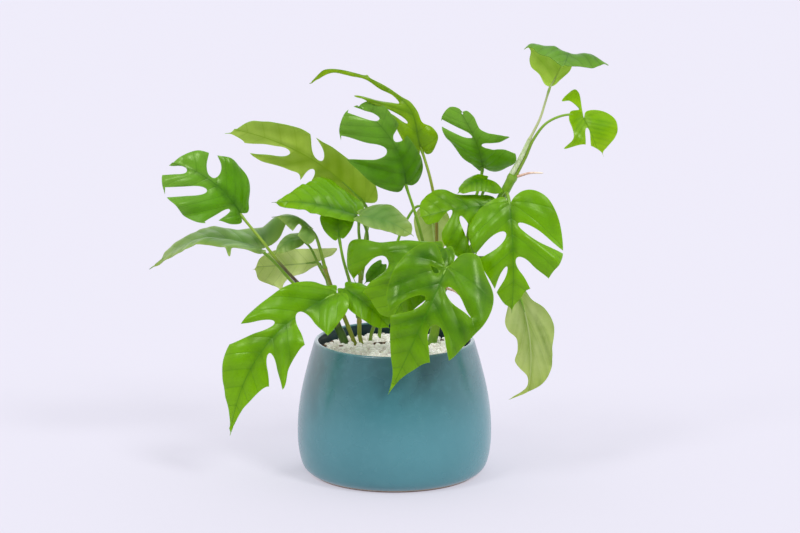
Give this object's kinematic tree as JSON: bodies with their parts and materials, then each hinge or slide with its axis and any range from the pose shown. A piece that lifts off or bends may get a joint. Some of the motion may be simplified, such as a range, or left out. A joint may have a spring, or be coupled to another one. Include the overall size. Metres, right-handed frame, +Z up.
{
  "type": "potted mini monstera",
  "caption": "Compact climbing plant with split, pierced and heart-shaped leaves on slender stalks, rooted in potting mix under white gravel in a round glazed pot.",
  "frame": {"origin": "middle of the pot's flat foot, on the surface it stands on", "axes": "+Z up; -Y towards the side that the broad front leaves face; +X to the right seen from there"},
  "size_m": [0.3825, 0.1764, 0.359],
  "materials": {
    "teal_glaze": "satin glaze",
    "potting_mix": "damp and crumbly",
    "white_gravel": "matte",
    "green_stem": "smooth",
    "olive_stem": "smooth",
    "pale_sheath": "waxy",
    "pink_root": "matte",
    "dark_leaf": "glossy",
    "fresh_leaf": "glossy",
    "pale_leaf": "satin",
    "lime_leaf": "satin"
  },
  "bodies": {
    "root": {"pot": "teal_glaze", "soil": "potting_mix", "gravel": "white_gravel", "stem_main": "green_stem", "stem_left": "green_stem", "stem_inner": "olive_stem", "stem_centre": "olive_stem", "leaf_sheath": "pale_sheath", "aerial_root": "pink_root", "lower_root": "pink_root", "leaf_left_fan": "dark_leaf", "leaf_left_long": "dark_leaf", "leaf_back_long": "pale_leaf", "leaf_top_arched": "lime_leaf", "leaf_centre_back": "dark_leaf", "leaf_centre_right": "dark_leaf", "leaf_small_dome": "fresh_leaf", "leaf_right_large": "fresh_leaf", "leaf_right_behind": "fresh_leaf", "leaf_right_hanging": "pale_leaf", "leaf_front_large": "fresh_leaf", "leaf_front_behind": "fresh_leaf", "leaf_front_left": "fresh_leaf", "leaf_over_rim": "lime_leaf", "leaf_upper_bright": "fresh_leaf", "leaf_inner_hanging": "dark_leaf", "leaf_inner_curled": "pale_leaf", "leaf_left_dark": "dark_leaf", "leaf_left_pale": "pale_leaf", "leaf_middle_grey": "pale_leaf", "leaf_middle_pale": "pale_leaf", "leaf_inner_small": "dark_leaf", "leaf_crown_recurved": "dark_leaf", "leaf_crown_drooping": "lime_leaf"}
  },
  "joints": []
}
